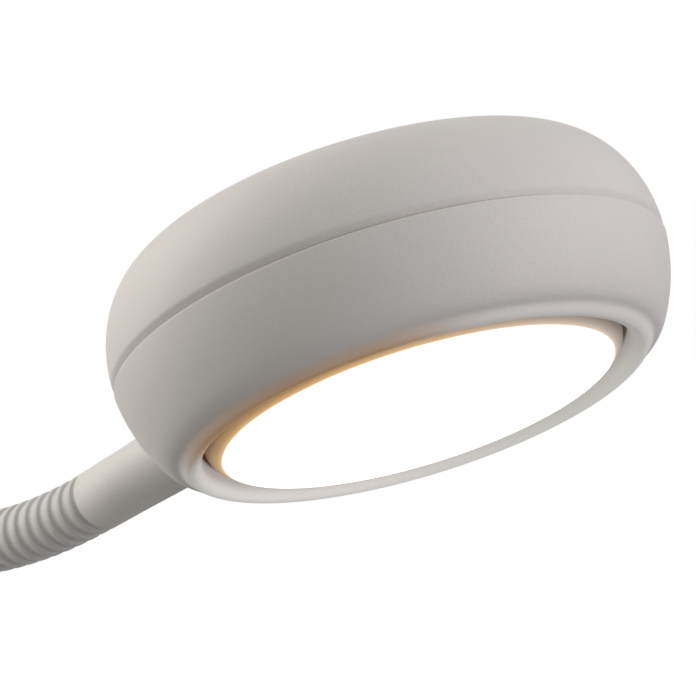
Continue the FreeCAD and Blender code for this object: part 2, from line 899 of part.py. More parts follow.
def flat_block(label, low_x, high_x, low_y, high_y, low, thickness, rounding=None):
    body = new_body(label)
    pad(body, box_outline(body, "XY_Plane", low_x, high_x, low_y, high_y, low), thickness)
    if rounding is not None:
        round_edges(body, rounding, upright)
    return body


def make_electronics():
    floor = size.frame_bottom + size.housing_wall
    flat_block("battery_cell", -size.battery_rear, size.battery_front,
               -size.battery_half_width, size.battery_half_width, floor + size.battery_lift,
               size.battery_thickness, size.battery_round)
    board_low = size.control_board_height
    board_top = board_low + size.board_thickness
    board = flat_block("control_board", -size.control_board_rear, size.control_board_front,
                       -size.control_board_half_width, size.control_board_half_width,
                       board_low, size.board_thickness, 1.0)
    holes = circles(board, "XY_Plane", board_post_centres(), size.board_screw_shank, board_top)
    pocket(board, holes, size.board_thickness)
    make_socket(board_top)
    switch = flat_block("tact_switch", size.button_x - size.switch_half,
                        size.button_x + size.switch_half, -size.switch_half, size.switch_half,
                        board_top, size.switch_height)
    plunger = circles(switch, "XY_Plane", [(size.button_x, 0)], size.plunger_radius,
                      board_top + size.switch_height)
    pad(switch, plunger, size.plunger_height)
    ceiling = size.cover_top - size.housing_wall
    turned("charge_light_pipe", [
        (0, size.light_pipe_low),
        (size.light_pipe_flange, size.light_pipe_low),
        (size.light_pipe_flange, ceiling),
        (size.light_pipe_radius, ceiling),
        (size.light_pipe_radius, size.cover_top + 0.1),
        (0, size.cover_top + 0.3),
    ], Placement(Vector(float(size.light_pipe_x), 0, 0), Rotation()))
    cover_screws = [shell_screw("CoverScrew", x, y, floor + 1, screw_tip())
                    for x, y in post_centres()]
    group("cover_screws", cover_screws)
    stand_screws = [board_screw("StandScrew", x, y, board_low, screw_tip())
                    for x, y in board_post_centres()]
    group("board_screws", stand_screws)


def make_socket(board_top):
    """USB-C receptacle: shell with a tongue, its mouth toward -Y."""
    socket = new_body("usb_c_socket")
    middle, half = -size.socket_x, size.socket_half_width
    wall = size.socket_wall
    mouth = size.half_width - size.socket_setback
    shell = box_outline(socket, "XZ_Plane", middle - half, middle + half,
                        board_top, board_top + size.socket_height, mouth)
    pad(socket, shell, size.socket_depth, down=True)
    round_edges(socket, 1.2, lambda edge: edge.BoundBox.YLength > 7)
    hole = box_outline(socket, "XZ_Plane", middle - half + wall, middle + half - wall,
                       board_top + wall, board_top + size.socket_height - wall, mouth)
    pocket(socket, hole, size.socket_depth - size.tongue_setback)
    tongue_low = board_top + (size.socket_height - size.tongue_thickness) / 2
    tongue = box_outline(socket, "XZ_Plane", middle - size.tongue_half_width,
                         middle + size.tongue_half_width, tongue_low,
                         tongue_low + size.tongue_thickness, size.half_width - size.tongue_setback)
    pad(socket, tongue, 5.4, down=True)


def make_button():
    """Round push button: cap through the cover, flange under it, stem over the switch."""
    cap = size.cover_top + size.button_rise
    flange_top = size.cover_top - size.housing_wall - 0.3
    flange_low = flange_top - 1.0
    turned("power_button", [
        (0, size.button_stem_low),
        (size.button_stem, size.button_stem_low),
        (size.button_stem, flange_low),
        (size.button_flange, flange_low),
        (size.button_flange, flange_top),
        (size.button_radius, flange_top),
        (size.button_radius, cap - 0.5),
        (size.button_radius - 0.6, cap),
        (0, cap - size.button_dish),
    ], Placement(Vector(float(size.button_x), 0, 0), Rotation()))


def make_neck_foot():
    foot = Placement(Vector(-float(size.neck_x), 0, 0), Rotation())
    top = size.cover_top + size.lower_collar_length
    ceiling = size.cover_top - size.housing_wall
    turned("lower_collar", [
        (size.ferrule_radius, size.cover_top),
        (size.foot_radius, size.cover_top),
        (size.foot_radius, size.cover_top + size.foot_edge),
        (size.foot_cone_radius, size.cover_top + size.foot_cone_height),
        (size.collar_tip_radius, top - 0.6),
        (size.collar_tip_radius - 0.5, top),
        (size.ferrule_radius, top),
    ], foot)
    turned("lower_ferrule", tube_outline(size.ferrule_bore, size.ferrule_radius, 12.0, top), foot)
    washer_low = ceiling - 1.0
    turned("lower_washer",
           tube_outline(size.ferrule_radius, size.foot_radius - 0.1, washer_low, ceiling), foot)
    hex_nut("lower_nut", size.lower_nut_flats, washer_low - size.nut_thickness, foot)
    board_top = float(size.control_board_height + size.board_thickness)
    neck_x = -float(size.neck_x)
    board_edge = -float(size.control_board_rear)
    lie = board_top + float(size.lead_radius)
    lead_along("clip_lead", [(neck_x, 0, 12.0), (neck_x, 0, 6.4), (board_edge - 4.4, 0, 6.4),
                             (board_edge - 4.4, 0, lie), (board_edge + 4.0, 0, lie)], 3.0)


# ---------------------------------------------------------------- clip, hinge and lower jaw


def make_jaw():
    """Lower jaw and squeeze handle: one profile, cut out for the ears and the spring."""
    jaw = new_body("jaw_lever")
    angle = math.radians(float(size.handle_angle))
    pin = (-size.pin_x, -size.pin_drop)
    plate_top = size.pad_sink - size.pad_gap - size.pad_thickness
    plate_low = plate_top - size.jaw_thickness

    def handle_height(x, below):
        """Height of the handle's line at x, a distance below the pin square to the handle."""
        along = (x - pin[0]) * math.tan(angle)
        return pin[1] + along - below / math.cos(angle)

    low = size.handle_drop + size.handle_thickness
    profile = [
        (size.nose_length, -size.pad_gap + 1.0),
        (size.lip_x, -size.pad_gap + 1.0),
        (size.lip_x, plate_top),
        (pin[0], plate_top),
        (pin[0], handle_height(pin[0], size.handle_drop)),
        (-size.jaw_tail, handle_height(-size.jaw_tail, size.handle_drop)),
        (-size.jaw_tail + 1.6, handle_height(-size.jaw_tail + 1.6, low)),
        (-size.heel_rear, handle_height(-size.heel_rear, low)),
        (-size.heel_front, plate_low),
        (size.nose_length - 3, plate_low),
        (size.nose_length, plate_low + 2.4),
    ]
    pad(jaw, outline(jaw, "XZ_Plane", profile), size.jaw_half_width * 2, symmetric=True)
    round_edges(jaw, size.jaw_corner, upright_nose)
    round_edges(jaw, size.jaw_corner, handle_end)
    round_edges(jaw, size.jaw_edge_round, lambda edge: at_height(edge, float(plate_low)))
    pad(jaw, circles(jaw, "XZ_Plane", [pin], size.knuckle_radius), size.knuckle_outer * 2,
        symmetric=True)
    window = box_outline(jaw, "XY_Plane", -size.window_rear, -size.window_front,
                         -size.knuckle_inner, size.knuckle_inner, 5.0)
    pocket(jaw, window, 40.0)
    for side in (1, -1):
        edges = sorted((size.knuckle_outer * side, (size.jaw_half_width + 1) * side), key=float)
        notch = box_outline(jaw, "XY_Plane", -size.notch_rear, -size.notch_front, *edges, 5.0)
        pocket(jaw, notch, 40.0)
    bore = circles(jaw, "XZ_Plane", [pin], size.pin_radius + size.pin_clearance)
    pocket(jaw, bore, size.knuckle_outer * 2 + 1, symmetric=True)
    seat = box_outline(jaw, "XY_Plane", -size.pad_half_length, size.pad_half_length,
                       1 - size.pad_half_width, size.pad_half_width - 1,
                       -size.pad_gap - size.pad_thickness)
    pocket(jaw, seat, 3.0, up=True)


def upright_nose(edge):
    return upright(edge) and edge.CenterOfMass.x > float(size.nose_length) - 0.1


def handle_end(edge):
    """True for a corner edge of the handle's free end."""
    box = edge.BoundBox
    end = -float(size.jaw_tail)
    return box.YLength < 1e-6 and box.XMin < end + 0.1 and box.XMax < end + 2


def make_pads():
    """Rubber pads, let 1 mm into their seats."""
    flat_block("upper_pad", -size.pad_half_length, size.pad_half_length, -size.pad_half_width,
               size.pad_half_width, 0, size.pad_thickness)
    flat_block("lower_pad", -size.pad_half_length, size.pad_half_length,
               -size.pad_half_width + 1, size.pad_half_width - 1,
               -size.pad_gap - size.pad_thickness, size.pad_thickness)
    turn = Rotation(Vector(0, 1, 0), -float(size.handle_angle))
    under_handle = float(size.handle_drop + size.handle_thickness + size.grip_thickness)
    reach = turn.multVec(Vector(-float(size.grip_reach), 0, -under_handle))
    pin = Vector(-float(size.pin_x), 0, -float(size.pin_drop))
    grip = new_body("jaw_grip", Placement(pin + reach, turn))
    half = size.grip_half
    pad(grip, box_outline(grip, "XY_Plane", -half, half, -half, half), size.grip_thickness)
    round_edges(grip, size.grip_round, upright)


def make_hinge():
    """Pin held in the frame's ears, with a retaining ring beyond each ear."""
    along_y = Rotation(Vector(1, 0, 0), -90)
    place = Placement(Vector(-float(size.pin_x), 0, -float(size.pin_drop)), along_y)
    groove = size.pin_radius - size.groove_depth
    chamfer = size.pin_chamfer
    ring_low = size.ear_outer + 0.1
    ring_high = ring_low + size.retainer_thickness
    half = size.pin_half_length
    turned("hinge_pin", [
        (0, -half),
        (size.pin_radius - chamfer, -half),
        (size.pin_radius, chamfer - half),
        (size.pin_radius, -ring_high),
        (groove, -ring_high),
        (groove, -ring_low),
        (size.pin_radius, -ring_low),
        (size.pin_radius, ring_low),
        (groove, ring_low),
        (groove, ring_high),
        (size.pin_radius, ring_high),
        (size.pin_radius, half - chamfer),
        (size.pin_radius - chamfer, half),
        (0, half),
    ], place)
    rings = []
    for low in (ring_low, -ring_high):
        outer = doc.addObject("Part::Cylinder", "RingOutside")
        bind(outer, "Radius", size.retainer_radius)
        inner = doc.addObject("Part::Cylinder", "RingBore")
        bind(inner, "Radius", groove)
        for piece in (outer, inner):
            bind(piece, "Height", ring_high - ring_low)
            piece.Placement = Placement(Vector(0, 0, float(low)), Rotation())
        ring = doc.addObject("Part::Cut", "Ring")
        ring.Base = outer
        ring.Tool = inner
        rings.append(ring)
    group("pin_retainers", rings, place)


def make_spring():
    """Torsion spring round the pin: one leg under the frame, one along the handle."""
    radius = float(size.spring_radius)
    pitch = float(size.spring_pitch)
    first_angle = -90.0
    last_angle = 90.0 - float(size.handle_angle) + 360.0 * float(size.spring_turns)
    turns = (last_angle - first_angle) / 360.0
    height = pitch * turns
    coil = Part.makeHelix(pitch, height, radius)
    coil.rotate(Vector(0, 0, 0), Vector(0, 0, 1), first_angle)
    coil.translate(Vector(0, 0, -height / 2))
    edges = coil.Edges
    start_edge, end_edge = edges[0], edges[-1]
    start = start_edge.valueAt(start_edge.FirstParameter)
    end = end_edge.valueAt(end_edge.LastParameter)
    start_way = start_edge.tangentAt(start_edge.FirstParameter)
    end_way = end_edge.tangentAt(end_edge.LastParameter)
    upper_tip = start - start_way * float(size.spring_upper_leg)
    lower_tip = end + end_way * float(size.spring_lower_leg)
    upper_leg = Part.LineSegment(upper_tip, start).toShape()
    lower_leg = Part.LineSegment(end, lower_tip).toShape()
    path = Part.Wire([upper_leg] + edges + [lower_leg])
    ring = Part.Wire(Part.makeCircle(float(size.spring_wire), upper_tip, start_way))
    spring = doc.addObject("Part::Feature", "torsion_spring")
    spring.Label = "torsion_spring"
    spring.Shape = path.makePipeShell([ring], True, True)
    along_y = Rotation(Vector(1, 0, 0), -90)
    spring.Placement = Placement(Vector(-float(size.pin_x), 0, -float(size.pin_drop)), along_y)
    PARTS.append(spring)


# ---------------------------------------------------------------- build, check, write


def check_and_write():
    doc.recompute()
    for item in doc.Objects:
        if "Invalid" in item.State or "Error" in item.State:
            raise RuntimeError(f"{item.Label} did not recompute: {item.State}")
    labels = [part.Label for part in PARTS]
    if len(set(labels)) != len(labels):
        raise RuntimeError("two sub-parts share a name")
    for part in PARTS:
        if part.Shape.isNull() or not part.Shape.isValid():
            raise RuntimeError(f"{part.Label} has a bad shape")
    os.makedirs("parts", exist_ok=True)
    for part in PARTS:
        part.Shape.exportStep(f"parts/{part.Label}.step")
    print(len(PARTS), "sub-parts written")


def main():
    make_head_shells()
    make_light()
    make_head_neck_end()
    make_neck()
    make_frame()
    make_cover()
    make_electronics()
    make_button()
    make_neck_foot()
    make_jaw()
    make_pads()
    make_hinge()
    make_spring()
    check_and_write()
    for number, section in enumerate(SECTIONS[:-1], start=1):
        print("pivot", number, tuple(round(v, 4) for v in section.end),
              "heading", tuple(round(v, 6) for v in section.end_heading))
    print("head origin", tuple(round(v, 4) for v in HEAD.Base), "tilt", round(HEAD_TILT, 4))


main()
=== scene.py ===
"""Looks of the clip-on reading lamp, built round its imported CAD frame."""

import json
import math

import bmesh
import bpy
from mathutils import Matrix, Vector


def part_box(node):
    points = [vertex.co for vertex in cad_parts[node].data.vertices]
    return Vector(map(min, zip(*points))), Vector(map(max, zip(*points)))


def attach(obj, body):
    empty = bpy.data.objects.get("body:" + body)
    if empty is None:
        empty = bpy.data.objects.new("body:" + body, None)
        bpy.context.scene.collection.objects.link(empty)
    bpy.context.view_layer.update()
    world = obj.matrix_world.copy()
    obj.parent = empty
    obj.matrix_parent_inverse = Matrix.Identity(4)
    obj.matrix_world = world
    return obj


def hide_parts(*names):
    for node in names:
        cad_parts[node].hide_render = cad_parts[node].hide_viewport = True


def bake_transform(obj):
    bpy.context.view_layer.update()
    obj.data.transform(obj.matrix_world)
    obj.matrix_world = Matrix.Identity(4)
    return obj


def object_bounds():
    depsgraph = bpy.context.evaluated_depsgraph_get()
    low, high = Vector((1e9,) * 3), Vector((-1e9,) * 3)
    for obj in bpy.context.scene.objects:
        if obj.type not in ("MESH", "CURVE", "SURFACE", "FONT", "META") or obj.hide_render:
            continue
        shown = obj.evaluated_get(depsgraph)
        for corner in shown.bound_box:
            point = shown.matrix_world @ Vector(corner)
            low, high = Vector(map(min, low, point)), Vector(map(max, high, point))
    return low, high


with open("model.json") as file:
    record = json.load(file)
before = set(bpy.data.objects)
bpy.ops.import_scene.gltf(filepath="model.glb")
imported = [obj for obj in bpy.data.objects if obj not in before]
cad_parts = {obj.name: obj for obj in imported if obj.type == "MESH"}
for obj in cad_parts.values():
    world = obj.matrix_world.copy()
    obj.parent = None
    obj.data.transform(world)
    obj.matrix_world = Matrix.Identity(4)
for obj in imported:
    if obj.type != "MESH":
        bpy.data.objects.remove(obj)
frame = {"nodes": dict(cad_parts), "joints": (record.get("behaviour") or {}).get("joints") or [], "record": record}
CAD_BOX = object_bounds()

MM = 0.001
JOINTS = {joint["name"]: joint for joint in frame["joints"]}

# Head, in millimetres, in its own frame: origin at the lit face's centre, Z into the head.
HEAD_TILT = math.radians(21.8)
HEAD_RADIUS = 42.5
COLLAR_LENGTH = 25.5
NECK_ENTRY = 13.7
FACE_RADIUS = 29.9
SKIRT_RADIUS = 31.7
LIP_RADIUS = 32.7
SPIGOT_RADIUS = HEAD_RADIUS - 0.9
SEAM_LOW = 14.5
SEAM_HIGH = 15.8
DOME_START = 16.3
DOME_HEIGHT = 31.1
CROWN_RADIUS = 32.2
CROWN_RISE = 0.5

# Meshes: steps round a large and a small lathed piece, and the angle of a sharp edge.
LATHE_STEPS = 180
SMALL_LATHE_STEPS = 96
SHARP_ANGLE = 40.0

# Neck sleeve, in millimetres.
SECTION_LENGTH = 33.0
RIBS_PER_HALF_SECTION = 6
RIB_CREST = 5.05
RIB_FLOOR = 4.6
SLEEVE_BORE = 4.25
SLEEVE_SIDES = 48

# Moulded grain, in millimetres: the usual spark texture.
SPARK_GRAIN = 0.22
SPARK_DEPTH = 0.004


# ---------------------------------------------------------------- places


def in_mm(corner):
    """A place of the frame, which is in metres, in millimetres."""
    return Vector(corner) / MM


def head_axes():
    """Directions of the head's own X and Z in the shared frame."""
    cos, sin = math.cos(HEAD_TILT), math.sin(HEAD_TILT)
    return Vector((cos, 0, sin)), Vector((-sin, 0, cos))


def placement(origin, x_axis, y_axis, z_axis):
    """Matrix of a frame given in millimetres."""
    rows = Matrix((x_axis, y_axis, z_axis)).transposed().to_4x4()
    return Matrix.Translation(Vector(origin) * MM) @ rows


class Arc:
    """One section of the neck, an arc in the XZ plane, in millimetres."""

    def __init__(self, start, angle, turn):
        self.start = start
        self.angle = angle
        self.turn = turn
        self.radius = SECTION_LENGTH / turn

    def at(self, share):
        """Point and heading angle at a share of the length."""
        half = self.turn * share / 2
        chord = 2 * self.radius * math.sin(half)
        way = self.angle + half
        return self.start + Vector((math.cos(way), 0, math.sin(way))) * chord, way + half


def neck_arcs():
    """The neck's sections, which run from pivot to pivot."""
    low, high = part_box("lower_collar")
    here = in_mm(((low.x + high.x) / 2, 0, high.z))
    angle = math.pi / 2
    arcs = []
    for name, joint in JOINTS.items():
        if not name.startswith(("neck_", "head_")):
            continue
        pivot = in_mm(joint["pos_m"])
        chord = pivot - here
        turn = 2 * (math.atan2(chord.z, chord.x) - angle)
        arcs.append(Arc(here, angle, turn))
        here = pivot
        angle += turn
    arcs.append(Arc(here, angle, HEAD_TILT - angle))
    return arcs


ARCS = neck_arcs()
HEAD_X, HEAD_Z = head_axes()
AXIS_X = Vector((1, 0, 0))
AXIS_Y = Vector((0, 1, 0))
AXIS_Z = Vector((0, 0, 1))
NECK_END = ARCS[-1].at(1.0)[0]
FACE_CENTRE = NECK_END + HEAD_X * (HEAD_RADIUS + COLLAR_LENGTH) - HEAD_Z * NECK_ENTRY
HEAD_PLACE = placement(FACE_CENTRE, HEAD_X, AXIS_Y, HEAD_Z)
COLLAR_PLACE = placement(FACE_CENTRE + HEAD_Z * NECK_ENTRY, HEAD_Z, AXIS_Y, -HEAD_X)


# ---------------------------------------------------------------- camera


def make_camera():
    """A long lens, a little below the head, looking up at the lit face."""
    azimuth, elevation = math.radians(42.0), math.radians(-3.5)
    distance, shift_right, shift_down = 496.4, 10.5, 9.2
    back = Vector((math.sin(azimuth) * math.cos(elevation),
                   -math.cos(azimuth) * math.cos(elevation), math.sin(elevation)))
    right = Vector((math.cos(azimuth), math.sin(azimuth), 0))
    up = back.cross(right)
    data = bpy.data.cameras.new("camera")
    data.sensor_width = 36.0
    data.lens = 175.0
    data.clip_start = 0.01
    data.clip_end = 50.0
    camera = bpy.data.objects.new("camera", data)
    bpy.context.scene.collection.objects.link(camera)
    eye = FACE_CENTRE + back * distance - right * shift_right + up * shift_down
    camera.matrix_world = placement(eye, right, up, back)
    bpy.context.scene.camera = camera


make_camera()


# ---------------------------------------------------------------- materials


def grey(level):
    return (level,) * 3


class Look:
    """A procedural material. Words given to it are constants on its shader."""

    def __init__(self, name, **constants):
        self.material = bpy.data.materials.new(name)
        self.material.use_nodes = True
        self.tree = self.material.node_tree
        self.shader = self.tree.nodes["Principled BSDF"]
        self.place = self.add("ShaderNodeTexCoord").outputs["Object"]
        for word, value in constants.items():
            self.shader.inputs[word.replace("_", " ")].default_value = value

    def add(self, kind, **settings):
        """A new node with its settings."""
        node = self.tree.nodes.new(kind)
        for word, value in settings.items():
            setattr(node, word, value)
        return node

    def wire(self, source, target):
        self.tree.links.new(source, target)

    def math(self, operation, *terms):
        """Result of a math node on sockets and numbers."""
        node = self.add("ShaderNodeMath", operation=operation)
        for socket, term in zip(node.inputs, terms):
            if isinstance(term, (int, float)):
                socket.default_value = term
            else:
                self.wire(term, socket)
        return node.outputs["Value"]

    def place_parts(self):
        """The place's X, Y and Z."""
        node = self.add("ShaderNodeSeparateXYZ")
        self.wire(self.place, node.inputs["Vector"])
        return node.outputs["X"], node.outputs["Y"], node.outputs["Z"]

    def stretched(self, factors):
        """The place, stretched along each axis."""
        node = self.add("ShaderNodeVectorMath", operation="MULTIPLY")
        self.wire(self.place, node.inputs[0])
        node.inputs[1].default_value = factors
        return node.outputs["Vector"]

    def noise(self, grain, detail=3.0, place=None):
        """Noise with features about grain millimetres across."""
        node = self.add("ShaderNodeTexNoise")
        node.inputs["Scale"].default_value = 1 / (grain * MM)
        node.inputs["Detail"].default_value = detail
        self.wire(place or self.place, node.inputs["Vector"])
        return node.outputs["Fac"]

    def cells(self, grain, feature="F1"):
        """Distances in cells about grain millimetres across."""
        node = self.add("ShaderNodeTexVoronoi", feature=feature)
        node.inputs["Scale"].default_value = 1 / (grain * MM)
        self.wire(self.place, node.inputs["Vector"])
        return node.outputs["Distance"]

    def waves(self, grain, direction, distortion=0.0):
        """Bands that repeat along a direction, by the wave texture's own scale."""
        node = self.add("ShaderNodeTexWave", wave_type="BANDS", bands_direction=direction)
        node.inputs["Scale"].default_value = 1 / (grain * MM)
        node.inputs["Distortion"].default_value = distortion
        self.wire(self.place, node.inputs["Vector"])
        return node.outputs["Fac"]

    def ramp(self, source, *stops):
        """Colours by value, eased: each stop is (value, colour)."""
        node = self.add("ShaderNodeValToRGB")
        band = node.color_ramp
        band.interpolation = "EASE"
        while len(band.elements) < len(stops):
            band.elements.new(0.5)
        for element, (value, colour) in zip(band.elements, stops):
            element.position = value
            element.color = (*colour, 1.0)
        self.wire(source, node.inputs["Fac"])
        return node.outputs["Color"]

    def rise(self, source, start, end):
        """From 0 at the start value to 1 at the end value."""
        return self.ramp(source, (start, grey(0.0)), (end, grey(1.0)))

    def fall(self, source, start, end):
        """From 1 at the start value to 0 at the end value."""
        return self.ramp(source, (start, grey(1.0)), (end, grey(0.0)))

    def mix(self, share, first, second):
        """Two colours mixed by a share, each a socket or a colour."""
        node = self.add("ShaderNodeMix", data_type="RGBA")
        sockets = [s for s in node.inputs if s.type == "RGBA"]
        amount = next(s for s in node.inputs if s.name == "Factor" and s.type == "VALUE")
        for socket, value in ((amount, share), (sockets[0], first), (sockets[1], second)):
            if isinstance(value, (int, float)):
                socket.default_value = value
            elif isinstance(value, tuple):
                socket.default_value = (*value, 1.0)
            else:
                self.wire(value, socket)
        return next(s for s in node.outputs if s.type == "RGBA")

    def between(self, source, low, high):
        """A value of 0 to 1 spread over low to high."""
        node = self.add("ShaderNodeMapRange")
        self.wire(source, node.inputs["Value"])
        node.inputs["To Min"].default_value = low
        node.inputs["To Max"].default_value = high
        return node.outputs["Result"]

    def colour(self, source):
        """The surface's own colour."""
        self.wire(source, self.shader.inputs["Base Color"])

    def roughness(self, source, low, high):
        """Roughness that follows a source."""
        self.wire(self.between(source, low, high), self.shader.inputs["Roughness"])

    def relief(self, *layers):
        """Bumps one over the other: each layer is (height source, depth in millimetres)."""
        normal = None
        for source, depth in layers:
            node = self.add("ShaderNodeBump")
            node.inputs["Distance"].default_value = depth * MM
            self.wire(source, node.inputs["Height"])
            if normal is not None:
                self.wire(normal, node.inputs["Normal"])
            normal = node.outputs["Normal"]
        self.wire(normal, self.shader.inputs["Normal"])


def tinted(colour, share):
    """A colour made lighter or darker by a share."""
    return tuple(min(1.0, channel * (1 + share)) for channel in colour)


def moulded_base(name, colour, roughness, grain, depth, constants):
    """Fine spark texture, faint flow clouds and small dust specks: a look and its colour."""
    look = Look(name, **constants)
    clouds = look.noise(26.0, detail=2.0)
    fine = look.noise(grain, detail=4.0)
    specks = look.noise(0.9, detail=2.0)
    base = look.ramp(clouds, (0.35, tinted(colour, -0.025)), (0.65, tinted(colour, 0.025)))
    grained = look.mix(look.rise(fine, 0.38, 0.62), tinted(colour, -0.05), base)
    dust = look.ramp(specks, (0.72, grey(0.0)), (0.80, grey(0.25)))
    look.roughness(fine, roughness - 0.05, roughness + 0.06)
    look.relief((fine, depth), (clouds, 0.03))
    return look, look.mix(dust, grained, tinted(colour, -0.22))


def moulded(name, colour, roughness, grain=SPARK_GRAIN, depth=SPARK_DEPTH, **constants):
    """Moulded plastic or rubber."""
    look, base = moulded_base(name, colour, roughness, grain, depth, constants)
    look.colour(base)
    return look.material


def ribbed_pad():
    """Silicone with moulded grip ribs across the clip."""
    grain = 0.16
    look, base = moulded_base("pad_silicone", (0.075, 0.075, 0.078), 0.68, grain, 0.01,
                              {"Sheen_Weight": 0.2})
    ribs = look.rise(look.waves(7.5, "X"), 0.25, 0.5)
    look.colour(look.mix(ribs, (0.05, 0.05, 0.052), base))
    look.relief((ribs, 0.35), (look.noise(grain, detail=4.0), 0.015))
    return look.material


def metal(name, colour, roughness, stretch, grain=0.25):
    """Worked steel: streaks along one axis and faint staining."""
    look = Look(name, Metallic=1.0)
    streaks = look.noise(grain, detail=5.0, place=look.stretched(stretch))
    stains = look.noise(3.0)
    base = look.ramp(streaks, (0.3, tinted(colour, -0.15)), (0.7, tinted(colour, 0.12)))
    look.colour(look.mix(look.between(stains, 0.0, 0.35), base, tinted(colour, -0.25)))
    look.roughness(streaks, roughness - 0.06, roughness + 0.08)
    look.relief((streaks, SPARK_DEPTH))
    return look.material


def toward(look, across, along, way, start, end):
    """Runs from 0 to 1 as a place near the mouth's rim turns toward a direction."""
    rim = 34.0 * MM
    lean = look.math("ADD", look.math("MULTIPLY", across, way[0] / rim),
                     look.math("MULTIPLY", along, way[1] / rim))
    half = look.math("MULTIPLY_ADD", lean, 0.5, 0.5)
    return look.rise(half, 0.5 + start / 2, 0.5 + end / 2)


def axis_radius(look, across, along, unit):
    """Distance from the axis in units of a radius given in millimetres."""
    squares = look.math("ADD", look.math("MULTIPLY", across, across),
                        look.math("MULTIPLY", along, along))
    return look.math("DIVIDE", look.math("SQRT", squares), unit * MM)


def painted_glow_lip(name, colour, roughness, **constants):
    """Moulded plastic round the mouth, with a painted glow: emission and an amber tint near the rim stand in for
    diffuser light on the lip.
    """
    look, base = moulded_base(name, colour, roughness, SPARK_GRAIN, SPARK_DEPTH, constants)
    across, along, deep = look.place_parts()
    radius_unit, depth_unit = 40.0, 10.0
    radius = axis_radius(look, across, along, radius_unit)
    near_mouth = look.fall(look.math("DIVIDE", deep, depth_unit * MM), 0.24, 0.34)
    amber_side = toward(look, across, along, (0.10, -0.995), 0.60, 0.95)
    far_side = toward(look, across, along, (-0.67, 0.74), -0.6, 0.5)
    # Painted glow near the mouth's rim: it drives the emission below, and tints the colour amber on one side as
    # painted light.
    painted_glow_mask = look.math("MULTIPLY", near_mouth, look.ramp(
        radius, (0.83, grey(1.0)), (0.868, grey(0.9)), (0.885, grey(0.5)), (0.920, grey(0.0))))
    look.colour(look.mix(look.math("MULTIPLY", painted_glow_mask, amber_side), base, (0.42, 0.22, 0.085)))
    # Painted glow colours: grey toward the far side, amber on the other.
    plain = look.mix(far_side, (0.13, 0.125, 0.12), (0.30, 0.302, 0.292))
    glow = look.mix(amber_side, plain, (0.115, 0.065, 0.022))
    look.wire(glow, look.shader.inputs["Emission Color"])
    look.wire(painted_glow_mask, look.shader.inputs["Emission Strength"])
    return look.material


def glowing_diffuser():
    """Milky acrylic lit from behind: white face that glows as the lamp, and a rim with painted amber light on one
    side, in its emission and its colour.
    """
    look = Look("diffuser_glow", Roughness=0.42, IOR=1.49, Coat_Weight=0.15,
                Emission_Strength=1.0)
    across, along, _ = look.place_parts()
    radius_unit = 35.0
    radius = axis_radius(look, across, along, radius_unit)
    wobble = look.noise(14.0, detail=2.0)
    edge = look.math("ADD", radius, look.math("MULTIPLY", wobble, 0.006))
    # Painted light: the rim's emission and colour turn amber toward one side and stay cool beige on the other.
    side = toward(look, across, along, (-0.72, -0.70), -1.0, 0.5)
    face_glow, face_colour = (1.70, 1.66, 1.56), (0.93, 0.92, 0.88)
    warm = look.ramp(edge, (0.852, face_glow), (0.864, (0.50, 0.31, 0.125)),
                     (0.885, (0.25, 0.145, 0.055)), (0.915, (0.055, 0.020, 0.006)))
    cool = look.ramp(edge, (0.852, face_glow), (0.864, (0.32, 0.25, 0.18)),
                     (0.885, (0.15, 0.125, 0.10)), (0.915, (0.05, 0.036, 0.026)))
    look.wire(look.mix(side, cool, warm), look.shader.inputs["Emission Color"])
    # Painted amber light in the rim's base colour on one side; beige on the other.
    amber = look.ramp(edge, (0.856, face_colour), (0.868, (0.40, 0.27, 0.15)),
                      (0.910, (0.27, 0.15, 0.075)))
    beige = look.ramp(edge, (0.856, face_colour), (0.868, (0.56, 0.50, 0.44)),
                      (0.910, (0.42, 0.36, 0.31)))
    look.colour(look.mix(side, beige, amber))
    look.relief((look.noise(0.3), 0.004))
    return look.material


def circuit_board():
    """Green solder mask over copper runs."""
    look = Look("circuit_board_mask", Roughness=0.4, Coat_Weight=0.5)
    bricks = look.add("ShaderNodeTexBrick", offset=0.4, squash=1.0)
    bricks.inputs["Scale"].default_value = 1 / (6.0 * MM)
    bricks.inputs["Mortar Size"].default_value = 0.035
    bricks.inputs["Mortar Smooth"].default_value = 0.3
    look.wire(look.place, bricks.inputs["Vector"])
    runs = bricks.outputs["Fac"]
    holes = look.fall(look.cells(3.4), 0.10, 0.14)
    mask = look.mix(runs, (0.012, 0.12, 0.035), (0.035, 0.23, 0.07))
    look.colour(look.mix(holes, mask, (0.75, 0.62, 0.32)))
    look.relief((runs, 0.03), (look.noise(0.5), 0.004))
    return look.material


def foil_pouch():
    """Crinkled aluminium laminate."""
    look = Look("battery_foil", Metallic=0.85)
    folds = look.cells(5.0, feature="DISTANCE_TO_EDGE")
    fine = look.noise(1.2, detail=5.0)
    look.colour(look.ramp(fine, (0.3, (0.50, 0.51, 0.53)), (0.7, (0.74, 0.75, 0.77))))
    look.roughness(fine, 0.24, 0.42)
    look.relief((folds, 0.25), (fine, 0.05))
    return look.material


def phosphor():
    """Yellow phosphor windows in white packages."""
    look = Look("led_phosphor", Roughness=0.35)
    grains = look.cells(0.18)
    clouds = look.noise(1.4)
    yellow = look.ramp(grains, (0.0, (0.86, 0.62, 0.14)), (0.7, (0.98, 0.86, 0.42)))
    look.colour(look.mix(look.between(clouds, 0.0, 0.3), yellow, (0.95, 0.93, 0.85)))
    look.relief((grains, 0.01))
    return look.material


def wound_core():
    """Interlocked steel winding under the sleeve."""
    look = Look("neck_core_winding", Metallic=1.0)
    bands = look.waves(9.0, "DIAGONAL", distortion=0.6)
    look.colour(look.ramp(bands, (0.2, (0.20, 0.20, 0.21)), (0.8, (0.48, 0.48, 0.50))))
    look.roughness(bands, 0.45, 0.3)
    look.relief((bands, 0.2), (look.noise(0.3), 0.005))
    return look.material


